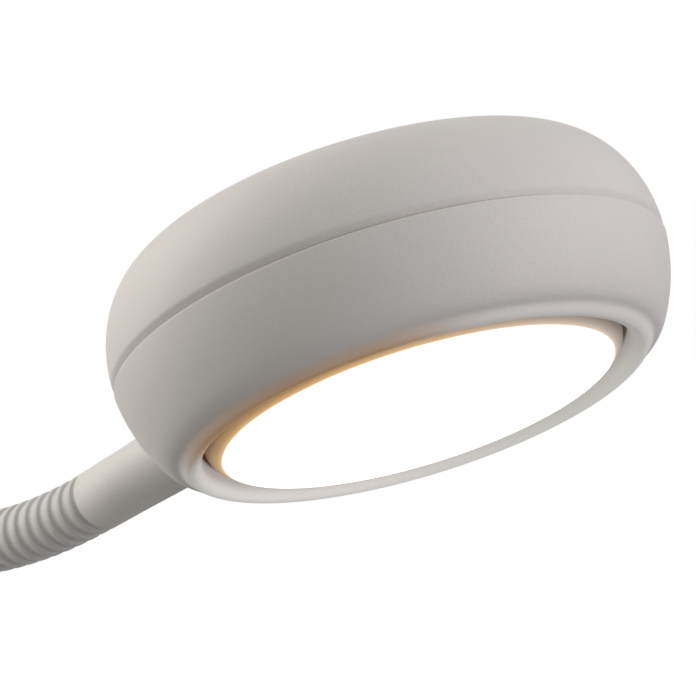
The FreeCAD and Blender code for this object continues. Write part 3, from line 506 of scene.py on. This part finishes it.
def button_cap():
    """Soft-touch cap with a pale on-off sign: a ring open at the top and a short bar."""
    look = Look("button_cap", Specular_IOR_Level=0.35)
    colour = (0.50, 0.48, 0.455)
    ring_radius, half_stroke, half_gap = 2.6, 0.28 * MM, 0.95 * MM
    bar_middle, half_bar = 2.3 * MM, 1.3 * MM
    across, along, _ = look.place_parts()
    off_axis = look.math("ABSOLUTE", along)
    off_ring = look.math("ABSOLUTE", look.math(
        "SUBTRACT", axis_radius(look, across, along, 1.0), ring_radius))
    off_bar = look.math("ABSOLUTE", look.math("SUBTRACT", across, bar_middle))
    ring = look.math("LESS_THAN", off_ring, half_stroke / MM)
    beside = look.math("GREATER_THAN", off_axis, half_gap)
    below = look.math("LESS_THAN", across, 0.0)
    open_ring = look.math("MULTIPLY", ring, look.math("MAXIMUM", beside, below))
    bar = look.math("MULTIPLY", look.math("LESS_THAN", off_axis, half_stroke),
                    look.math("LESS_THAN", off_bar, half_bar))
    sign = look.math("MAXIMUM", open_ring, bar)
    fine = look.noise(0.2, detail=4.0)
    base = look.ramp(fine, (0.35, tinted(colour, -0.06)), (0.65, tinted(colour, 0.03)))
    look.colour(look.mix(sign, base, (0.86, 0.85, 0.82)))
    look.roughness(fine, 0.52, 0.64)
    look.relief((fine, 0.012))
    return look.material


SHELL = {"colour": (0.585, 0.565, 0.535), "roughness": 0.55, "Sheen_Weight": 0.12,
         "Sheen_Roughness": 0.4, "Specular_IOR_Level": 0.38}

# One look for each material slot, and the lip's own with its painted glow.
LOOKS = {
    "lip": painted_glow_lip("shell_painted_glow_lip", **SHELL),
    "shell": moulded("shell_soft_touch", **SHELL),
    "neck_sleeve": moulded("sleeve_soft_touch", (0.525, 0.522, 0.50), 0.6, grain=0.18,
                           Sheen_Weight=0.1, Specular_IOR_Level=0.35),
    "diffuser": glowing_diffuser(),
    "reflector": moulded("reflector_white", (0.90, 0.90, 0.88), 0.25),
    "led_board": moulded("led_board_white", (0.84, 0.84, 0.82), 0.35, grain=0.5, depth=0.006),
    "led_chip": phosphor(),
    "screw_steel": metal("screw_zinc", (0.56, 0.56, 0.58), 0.34, (1.0, 1.0, 6.0)),
    "ferrule_steel": metal("ferrule_nickel", (0.62, 0.61, 0.59), 0.28, (1.0, 1.0, 8.0)),
    "pin_steel": metal("pin_ground", (0.60, 0.60, 0.61), 0.25, (8.0, 1.0, 8.0)),
    "spring_steel": metal("spring_wire", (0.36, 0.36, 0.38), 0.36, (3.0, 1.0, 3.0), grain=0.4),
    "lead_sheath": moulded("lead_pvc", (0.035, 0.035, 0.037), 0.5, grain=0.3),
    "neck_core": wound_core(),
    "pad_rubber": ribbed_pad(),
    "battery_foil": foil_pouch(),
    "circuit_board": circuit_board(),
    "socket_metal": metal("socket_nickel", (0.66, 0.65, 0.63), 0.22, (1.0, 7.0, 1.0)),
    "switch_black": moulded("switch_black", (0.03, 0.03, 0.032), 0.42, grain=0.12, depth=0.008),
    "light_pipe": moulded("light_pipe_clear", (0.80, 0.85, 0.86), 0.3,
                          Transmission_Weight=0.35),
    "button": button_cap(),
}


def finish_piece(piece, slot, look=None):
    """Gives a new piece the look of a material slot, or one of its own."""
    piece.data.materials.append(LOOKS[look or slot])


def finish_cad_nodes():
    """Every CAD node takes the look of the slot that the record gives it."""
    slots = {part["node"]: part["material_slot"] for part in frame["record"]["subparts"]}
    for name, node in frame["nodes"].items():
        look = LOOKS[slots[name]]
        if not node.material_slots:
            node.data.materials.append(look)
        for slot in node.material_slots:
            slot.material = look


# ---------------------------------------------------------------- mesh tools


def link_mesh(name, maker, sharp=SHARP_ANGLE):
    """A new object from a filled bmesh, shaded smooth with its sharp edges kept."""
    bmesh.ops.recalc_face_normals(maker, faces=maker.faces)
    mesh = bpy.data.meshes.new(name)
    maker.to_mesh(mesh)
    maker.free()
    mesh.shade_smooth()
    mesh.set_sharp_from_angle(angle=math.radians(sharp))
    piece = bpy.data.objects.new(name, mesh)
    bpy.context.scene.collection.objects.link(piece)
    return piece


def stitch(maker, first, second):
    """Faces between two rings, either of which may be a single point."""
    count = max(len(first), len(second))
    for here in range(count):
        after = (here + 1) % count
        corners = []
        for ring, index in ((first, here), (first, after), (second, after), (second, here)):
            vertex = ring[index] if len(ring) > 1 else ring[0]
            if vertex not in corners:
                corners.append(vertex)
        if len(corners) > 2:
            maker.faces.new(corners)


def lathe(name, profile, place, steps=LATHE_STEPS, sharp=SHARP_ANGLE):
    """A closed (radius, height) outline in millimetres, turned about its own Z axis."""
    maker = bmesh.new()
    rings = []
    for radius, height in profile:
        if radius == 0:
            rings.append([maker.verts.new((0, 0, height * MM))])
            continue
        ring = []
        for step in range(steps):
            angle = math.tau * step / steps
            ring.append(maker.verts.new((radius * math.cos(angle) * MM,
                                         radius * math.sin(angle) * MM, height * MM)))
        rings.append(ring)
    for first, second in zip(rings, rings[1:] + rings[:1]):
        if len(first) > 1 or len(second) > 1:
            stitch(maker, first, second)
    piece = link_mesh(name, maker, sharp)
    piece.matrix_world = place
    return piece


def arc_through(start, via, end, steps=14):
    """Points of the circle arc through three points, both ends included."""
    (ax, ay), (bx, by), (cx, cy) = start, via, end
    twice = 2 * (ax * (by - cy) + bx * (cy - ay) + cx * (ay - by))
    a2, b2, c2 = ax * ax + ay * ay, bx * bx + by * by, cx * cx + cy * cy
    x = (a2 * (by - cy) + b2 * (cy - ay) + c2 * (ay - by)) / twice
    y = (a2 * (cx - bx) + b2 * (ax - cx) + c2 * (bx - ax)) / twice
    radius = math.hypot(ax - x, ay - y)
    first = math.atan2(ay - y, ax - x)
    sweep = (math.atan2(cy - y, cx - x) - first + math.pi) % math.tau - math.pi
    return [(x + radius * math.cos(first + sweep * step / steps),
             y + radius * math.sin(first + sweep * step / steps)) for step in range(steps + 1)]


def subdivided(points, times):
    """A run of points with evenly spaced ones put between them."""
    run = []
    for (ax, ay), (bx, by) in zip(points, points[1:]):
        run += [(ax + (bx - ax) * step / times, ay + (by - ay) * step / times)
                for step in range(times)]
    return run + [points[-1]]


def softened(points, passes):
    """An open run of profile points, smoothed between its ends."""
    run = [Vector(point) for point in points]
    for _ in range(passes):
        inner = [(a + b * 2 + c) / 4 for a, b, c in zip(run, run[1:], run[2:])]
        run = [run[0], *inner, run[-1]]
    return [tuple(point) for point in run]


def filleted(corners, steps=5):
    """Closed outline with rounded corners: each corner is (x, y) or (x, y, radius)."""
    outline = []
    count = len(corners)
    for index, corner in enumerate(corners):
        here = Vector(corner[:2])
        if len(corner) < 3:
            outline.append(tuple(here))
            continue
        to_before = Vector(corners[index - 1][:2]) - here
        to_after = Vector(corners[(index + 1) % count][:2]) - here
        reach = min(corner[2], to_before.length / 2, to_after.length / 2)
        start = here + to_before.normalized() * reach
        end = here + to_after.normalized() * reach
        for step in range(steps + 1):
            share = step / steps
            outline.append(tuple(start * (1 - share) ** 2 + here * (2 * share * (1 - share))
                                 + end * share ** 2))
    return outline


def tube_rings(maker, stations, sides):
    """Rings round a path in the XZ plane: each station is (point, heading angle, radius)."""
    rings = []
    for point, angle, radius in stations:
        up = Vector((-math.sin(angle), 0, math.cos(angle)))
        ring = []
        for side in range(sides):
            turn = math.tau * side / sides
            spot = point + (AXIS_Y * math.cos(turn) + up * math.sin(turn)) * radius
            ring.append(maker.verts.new(spot * MM))
        rings.append(ring)
    return rings


# ---------------------------------------------------------------- head


def make_front_shell():
    """Soft lip, valley and flank up to the seam, with a spigot that enters the rear shell."""
    bead = [(LIP_RADIUS, 2.3), (LIP_RADIUS + 0.05, 1.2), (LIP_RADIUS + 0.35, 0.3),
            (33.8, -0.35), (34.6, -0.5), (35.3, -0.2), (35.75, 0.45), (36.15, 0.95),
            (36.7, 1.2), (37.4, 1.5), (38.4, 2.55)]
    seam_start = SEAM_LOW - 0.3
    flank = arc_through(bead[-1], (41.1, 8.1), (HEAD_RADIUS, seam_start), steps=40)
    face = softened(subdivided(bead, 5) + flank[1:], passes=14)
    ledge = filleted([(HEAD_RADIUS, seam_start), (HEAD_RADIUS, SEAM_LOW, 0.25),
                      (SPIGOT_RADIUS, SEAM_LOW)])
    bore, spigot_end = 40.0, 18.6
    shelf_bore, shelf_low, shelf_high = 23.0, 9.0, 10.6
    inside = [(SPIGOT_RADIUS, spigot_end), (bore, spigot_end), (bore, shelf_high),
              (shelf_bore, shelf_high), (shelf_bore, shelf_low), (39.2, shelf_low),
              (38.1, 6.4), (35.4, 4.7), (LIP_RADIUS, 3.9)]
    front = lathe("head_front_shell", face + ledge[1:] + inside, HEAD_PLACE)
    # The front shell takes the lip look, whose glow round the mouth is painted.
    finish_piece(front, "shell", look="lip")
    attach(front, "lamp_head")
    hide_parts("head_front_housing")


def make_rear_shell():
    """Domed back with a nearly flat crown, lapped over the spigot with a shadow seam."""
    dome_steps, crown_steps, first_turn = 40, 12, 2.0
    dome = []
    for step in range(dome_steps + 1):
        turn = math.radians(first_turn + (90.0 - first_turn) * step / dome_steps)
        dome.append((CROWN_RADIUS + (HEAD_RADIUS - CROWN_RADIUS) * math.cos(turn),
                     DOME_START + (DOME_HEIGHT - DOME_START) * math.sin(turn)))
    crown = []
    for step in range(1, crown_steps):
        out = 1 - step / crown_steps
        crown.append((CROWN_RADIUS * out, DOME_HEIGHT + CROWN_RISE * (1 - out ** 2)))
    skirt = filleted([(SPIGOT_RADIUS, SEAM_LOW + 0.15), (HEAD_RADIUS - 0.6, SEAM_LOW + 0.2, 0.1),
                      (HEAD_RADIUS - 0.02, SEAM_HIGH, 0.35), dome[0]])
    inside = [(0, 29.8), (31.0, 29.2), (37.6, 25.7), (40.5, 19.3), (SPIGOT_RADIUS, 19.0)]
    outline = skirt[:-1] + dome + crown + [(0, DOME_HEIGHT + CROWN_RISE)] + inside
    rear = lathe("head_rear_shell", outline, HEAD_PLACE, sharp=30.0)
    finish_piece(rear, "shell")
    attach(rear, "lamp_head")
    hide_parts("head_rear_cover")


def make_diffuser():
    """Flat lit face with a sloped rim, and a flange behind the lip."""
    face_ring, wall, bore = 15.0, 1.8, 30.6
    foot, flange, flange_low, flange_high = SKIRT_RADIUS + 0.3, 34.9, 4.7, 5.6
    lens = lathe("diffuser_lens", filleted([
        (0, 0), (face_ring, 0), (FACE_RADIUS, 0, 0.5), (SKIRT_RADIUS, 1.5, 0.6),
        (foot, 2.6, 0.3), (foot, 4.6), (flange, flange_low), (flange, flange_high),
        (bore, flange_high), (bore, 2.9), (28.4, wall), (0, wall)]), HEAD_PLACE)
    finish_piece(lens, "diffuser")
    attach(lens, "lamp_head")
    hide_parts("diffuser")


def make_head_collar():
    """Smooth tapered bushing from inside the head's side to the neck's last rib."""
    bore, root = 4.05, 6.1
    inner, outer = 38.6, HEAD_RADIUS + COLLAR_LENGTH
    collar = lathe("head_collar", filleted([
        (bore, inner), (root, inner), (root, 40.0), (5.9, 42.0, 0.8), (5.55, 44.0, 1.5),
        (5.45, 50.0), (5.2, 60.0), (5.1, outer - 0.5), (4.7, outer), (bore, outer)]),
        COLLAR_PLACE, steps=SMALL_LATHE_STEPS)
    finish_piece(collar, "shell")
    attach(collar, "lamp_head")
    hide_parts("upper_collar")


# ---------------------------------------------------------------- neck


# One rib with the grooves beside it: (share of its length, share of its height).
RIB = ((0.0, 0.0), (0.13, 0.0), (0.19, 0.12), (0.235, 0.55), (0.29, 0.9), (0.36, 1.0),
       (0.64, 1.0), (0.71, 0.9), (0.765, 0.55), (0.81, 0.12), (0.87, 0.0))


def half_section(arc, first_half):
    """Stations along half a section: (point, heading, radius)."""
    stations = []
    start = 0.0 if first_half else 0.5
    for rib in range(RIBS_PER_HALF_SECTION):
        for place, height in RIB:
            share = start + (rib + place) / RIBS_PER_HALF_SECTION / 2
            stations.append((*arc.at(share), RIB_FLOOR + (RIB_CREST - RIB_FLOOR) * height))
    stations.append((*arc.at(start + 0.5), RIB_FLOOR))
    return stations


def sleeve_piece(name, stations):
    """Ribbed tube along the stations, closed round its wall."""
    maker = bmesh.new()
    outer = tube_rings(maker, stations, SLEEVE_SIDES)
    bore = [(point, angle, SLEEVE_BORE) for point, angle, _ in stations[::-1]]
    inner = tube_rings(maker, bore, SLEEVE_SIDES)
    rings = outer + inner
    for first, second in zip(rings, rings[1:] + rings[:1]):
        stitch(maker, first, second)
    piece = link_mesh(name, maker, sharp=50.0)
    finish_piece(piece, "neck_sleeve")
    return piece


def make_neck():
    """Sleeves from mid-section to mid-section over each joint, and a half section at each end."""
    foot = sleeve_piece("sleeve_foot", half_section(ARCS[0], True))
    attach(foot, "clip_body")
    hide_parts("neck_sleeve_1")
    for index in range(len(ARCS) - 1):
        stations = half_section(ARCS[index], False) + half_section(ARCS[index + 1], True)[1:]
        piece = sleeve_piece(f"sleeve_bend_{index + 1}", stations)
        if index > 0:
            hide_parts(f"neck_sleeve_{index + 1}")
        ARCS[index].at(0.5)[0] * MM
        ARCS[index + 1].at(0.5)[0] * MM
        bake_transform(piece)
    tip = sleeve_piece("sleeve_tip", half_section(ARCS[-1], False))
    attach(tip, "lamp_head")
    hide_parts(f"neck_sleeve_{len(ARCS)}")


# ---------------------------------------------------------------- clip


def centre_of(node):
    """Middle of a CAD node's box, in millimetres."""
    low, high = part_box(node)
    return in_mm((low + high) / 2)


def upright(node):
    """Radius, height and place of a round CAD node that stands upright."""
    low, high = (in_mm(corner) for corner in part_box(node))
    middle = centre_of(node)
    place = placement((middle.x, middle.y, low.z), AXIS_X, AXIS_Y, AXIS_Z)
    return (high.x - low.x) / 2, high.z - low.z, place


def make_base_collar():
    """Round foot that holds the neck's end on the top cover."""
    radius, height, place = upright("lower_collar")
    bore = 4.1
    collar = lathe("base_collar", filleted([
        (bore, 0), (radius, 0), (radius, 1.2, 0.6), (6.6, 2.0, 1.2), (5.9, 3.6, 1.5),
        (5.5, 6.5), (5.25, height - 0.8), (5.05, height, 0.5), (bore, height, 0.2)]),
        place, steps=SMALL_LATHE_STEPS)
    finish_piece(collar, "shell")
    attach(collar, "clip_body")
    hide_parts("lower_collar")


def make_button():
    """Dished cap with a rounded rim, on a flange and a stem."""
    flange, height, place = upright("power_button")
    radius, stem = 6.5, 1.8
    flange_low, flange_high = 1.4, 2.4
    cap = lathe("button_cap", filleted([
        (0, height - 0.4), (3.6, height - 0.35), (5.2, height - 0.1, 0.6),
        (radius, height, 0.45), (radius, flange_high), (flange, flange_high),
        (flange, flange_low), (stem, flange_low), (stem, 0), (0, 0)]),
        place, steps=SMALL_LATHE_STEPS)
    finish_piece(cap, "button")
    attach(cap, "button")
    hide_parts("power_button")


def make_spring():
    """Coil round the hinge pin, one leg on the frame and one along the jaw's handle."""
    pin = centre_of("hinge_pin")
    wire_radius, mean, pitch = 0.9, 4.6, 2.0
    whole_turns, coil_steps, wire_sides = 7, 360, 14
    frame_leg, jaw_leg, leg_middle, leg_start = 16.9, 18.9, 8.0, 1.0
    first_turn = math.radians(-90)
    last_turn = math.radians(64 + whole_turns * 360)
    span = pitch * (last_turn - first_turn) / math.tau
    path = []
    for step in range(coil_steps + 1):
        share = step / coil_steps
        turn = first_turn + (last_turn - first_turn) * share
        path.append(pin + Vector((mean * math.cos(turn), span * (share - 0.5),
                                  -mean * math.sin(turn))))
    way_in = Vector((-math.sin(first_turn), 0, -math.cos(first_turn)))
    way_out = Vector((-math.sin(last_turn), 0, -math.cos(last_turn)))
    path = ([path[0] - way_in * reach for reach in (frame_leg, leg_middle, leg_start)] + path
            + [path[-1] + way_out * reach for reach in (leg_start, leg_middle, jaw_leg)])
    maker = bmesh.new()
    rings = []
    for index, spot in enumerate(path):
        way = (path[min(index + 1, len(path) - 1)] - path[max(index - 1, 0)]).normalized()
        side = way.cross(AXIS_Y).normalized()
        up = side.cross(way)
        ring = []
        for corner in range(wire_sides):
            turn = math.tau * corner / wire_sides
            round_wire = side * math.cos(turn) + up * math.sin(turn)
            ring.append(maker.verts.new((spot + round_wire * wire_radius) * MM))
        rings.append(ring)
    for start, end in zip(rings, rings[1:]):
        stitch(maker, start, end)
    maker.faces.new(rings[0])
    maker.faces.new(rings[-1][::-1])
    spring = link_mesh("hinge_coil", maker)
    finish_piece(spring, "spring_steel")
    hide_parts("torsion_spring")
    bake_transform(spring)


# ---------------------------------------------------------------- light and floor


def area_light(name, direction, distance, side, power, colour):
    """A square soft box that looks at the head from a direction."""
    data = bpy.data.lights.new(name, "AREA")
    data.shape = "SQUARE"
    data.size = side
    data.energy = power
    data.color = colour
    light = bpy.data.objects.new(name, data)
    bpy.context.scene.collection.objects.link(light)
    way = Vector(direction).normalized()
    light.location = FACE_CENTRE * MM + way * distance
    light.rotation_mode = "QUATERNION"
    light.rotation_quaternion = (-way).to_track_quat("-Z", "Y")
    light.visible_camera = False


def make_sky():
    """Soft light that fades from the top down, and plain white where the camera looks."""
    world = bpy.data.worlds.new("studio")
    bpy.context.scene.world = world
    world.use_nodes = True
    nodes, links = world.node_tree.nodes, world.node_tree.links
    sky = nodes["Background"]
    sky.inputs["Strength"].default_value = 0.78
    place = nodes.new("ShaderNodeTexCoord")
    parts = nodes.new("ShaderNodeSeparateXYZ")
    links.new(place.outputs["Generated"], parts.inputs["Vector"])
    spread = nodes.new("ShaderNodeMapRange")
    spread.inputs["From Min"].default_value = -1.0
    links.new(parts.outputs["Z"], spread.inputs["Value"])
    fade = nodes.new("ShaderNodeValToRGB")
    below, above = fade.color_ramp.elements
    below.position, below.color = 0.3, (0.34, 0.34, 0.36, 1.0)
    above.position, above.color = 0.95, (1.0, 0.985, 0.96, 1.0)
    links.new(spread.outputs["Result"], fade.inputs["Fac"])
    links.new(fade.outputs["Color"], sky.inputs["Color"])
    backdrop = nodes.new("ShaderNodeBackground")
    backdrop.inputs["Color"].default_value = (1.0, 1.0, 1.0, 1.0)
    seen = nodes.new("ShaderNodeLightPath")
    choice = nodes.new("ShaderNodeMixShader")
    links.new(seen.outputs["Is Camera Ray"], choice.inputs["Fac"])
    links.new(sky.outputs["Background"], choice.inputs[1])
    links.new(backdrop.outputs["Background"], choice.inputs[2])
    links.new(choice.outputs["Shader"], nodes["World Output"].inputs["Surface"])


def make_studio():
    """Sky, a warm key light, a cooler fill and a weak rim light from a little below the head."""
    bpy.context.scene.view_settings.view_transform = "Standard"
    make_sky()
    area_light("key", (-0.85, -0.50, 0.42), distance=0.9, side=0.7, power=5.0,
               colour=(1.0, 0.965, 0.90))
    area_light("fill", (0.93, 0.28, 0.18), distance=0.9, side=0.7, power=5.0,
               colour=(0.94, 0.92, 1.0))
    area_light("rim", (-0.85, -0.42, -0.16), distance=0.6, side=0.3, power=0.7,
               colour=(1.0, 0.98, 0.94))


def floor_paper():
    """Pale paper that the camera sees brighter than the lamp does."""
    look = Look("floor_paper", Roughness=0.8, Specular_IOR_Level=0.1)
    look.shader.inputs["Emission Color"].default_value = (1.0, 1.0, 1.0, 1.0)
    clouds = look.noise(180.0)
    seen = look.add("ShaderNodeLightPath").outputs["Is Camera Ray"]
    paper = look.ramp(clouds, (0.3, grey(0.86)), (0.7, grey(0.89)))
    look.colour(look.mix(seen, grey(0.30), paper))
    look.relief((look.noise(0.8), 0.01))
    look.wire(look.math("MULTIPLY", seen, 0.5), look.shader.inputs["Emission Strength"])
    return look.material


def make_floor():
    """Plain floor, low enough for the open jaw."""
    half_side, drop = 6.0, 18 * MM
    maker = bmesh.new()
    bmesh.ops.create_grid(maker, x_segments=40, y_segments=40, size=half_side)
    floor = link_mesh("floor", maker)
    floor.location = (0, 0, CAD_BOX[0].z - drop)
    floor.data.materials.append(floor_paper())


finish_cad_nodes()
make_front_shell()
make_rear_shell()
make_diffuser()
make_head_collar()
make_neck()
make_base_collar()
make_button()
make_spring()
make_studio()
make_floor()
